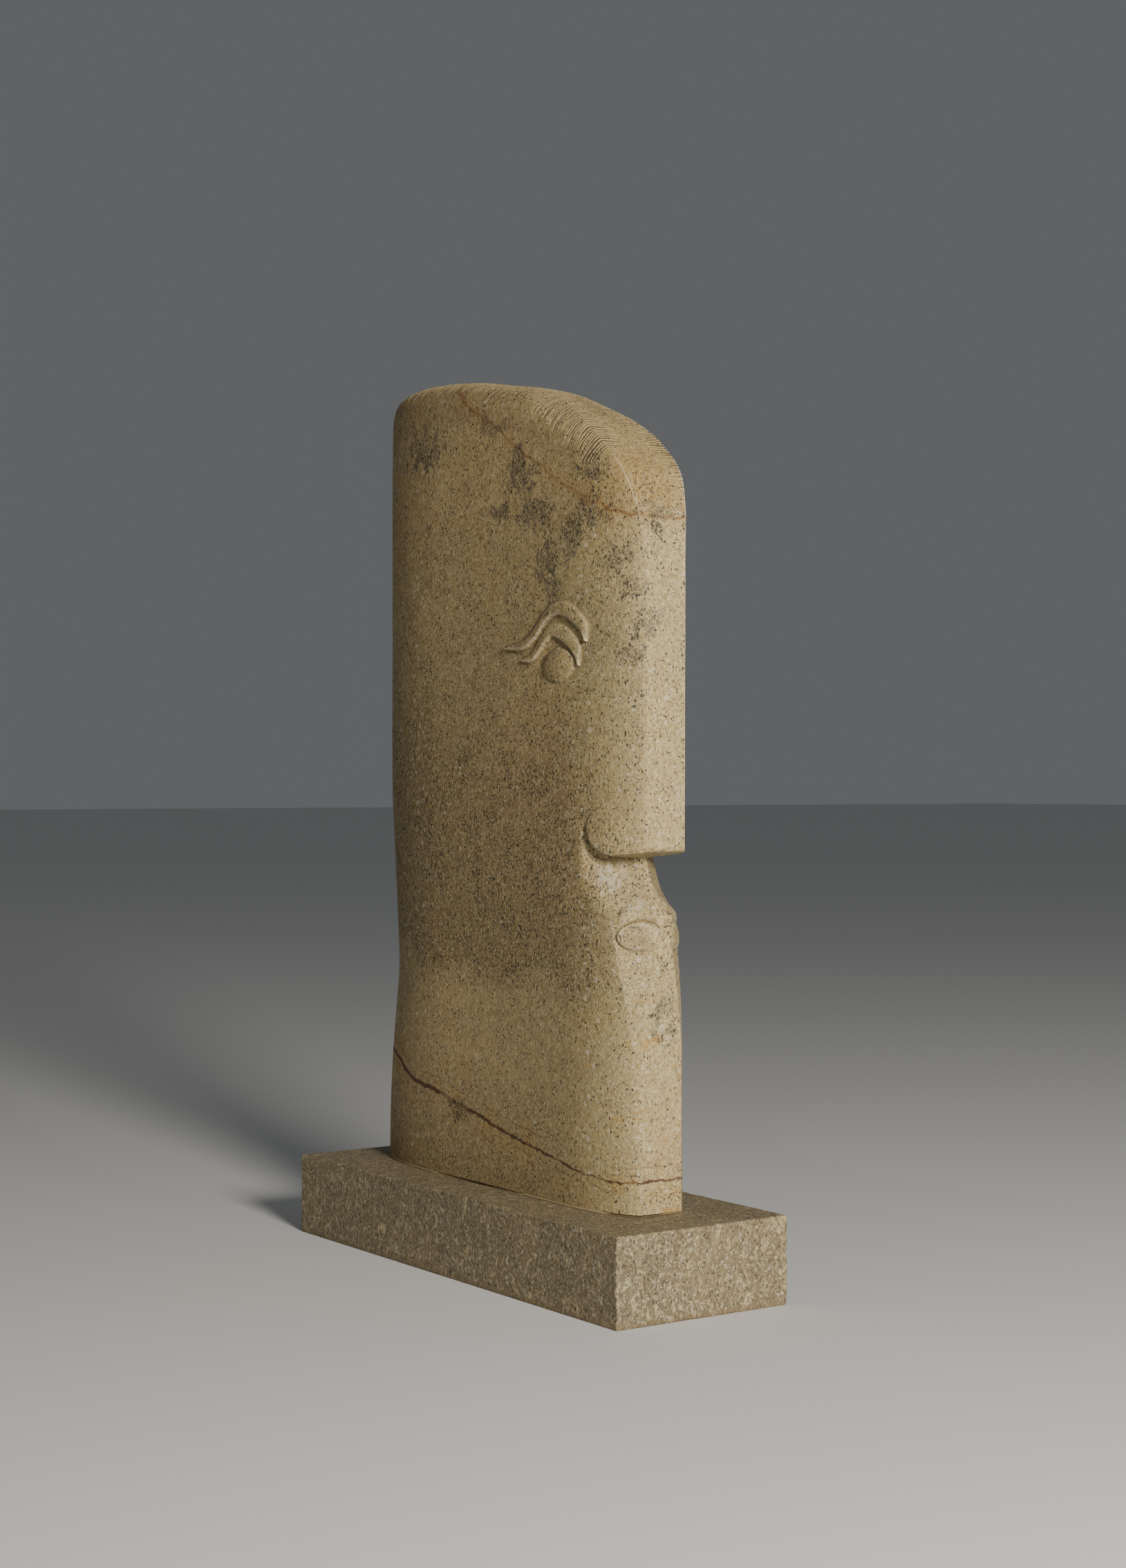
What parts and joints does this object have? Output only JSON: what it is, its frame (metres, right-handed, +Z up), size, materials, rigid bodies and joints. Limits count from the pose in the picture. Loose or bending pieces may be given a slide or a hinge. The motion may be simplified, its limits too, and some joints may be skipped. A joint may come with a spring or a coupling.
{
  "type": "head sculpture",
  "caption": "Flat slab head carved in speckled granite, with a long straight nose and a raised eye on each flank, standing on a block plinth.",
  "frame": {"origin": "middle of the plinth's underside", "axes": "+Z up, the face looks along -Y, the two broad flanks face -X and +X"},
  "size_m": [0.188, 0.56, 0.8677],
  "materials": {
    "head_granite": "honed warm beige granite with dark flecks and rusty veins, tooled along the crown",
    "plinth_granite": "rubbed grey-beige granite, coarser grained, with slightly chipped edges",
    "mortar": "matt pale setting mortar"
  },
  "bodies": {
    "root": {"head": "head_granite", "plinth": "plinth_granite", "setting_bed": "mortar"}
  },
  "joints": []
}
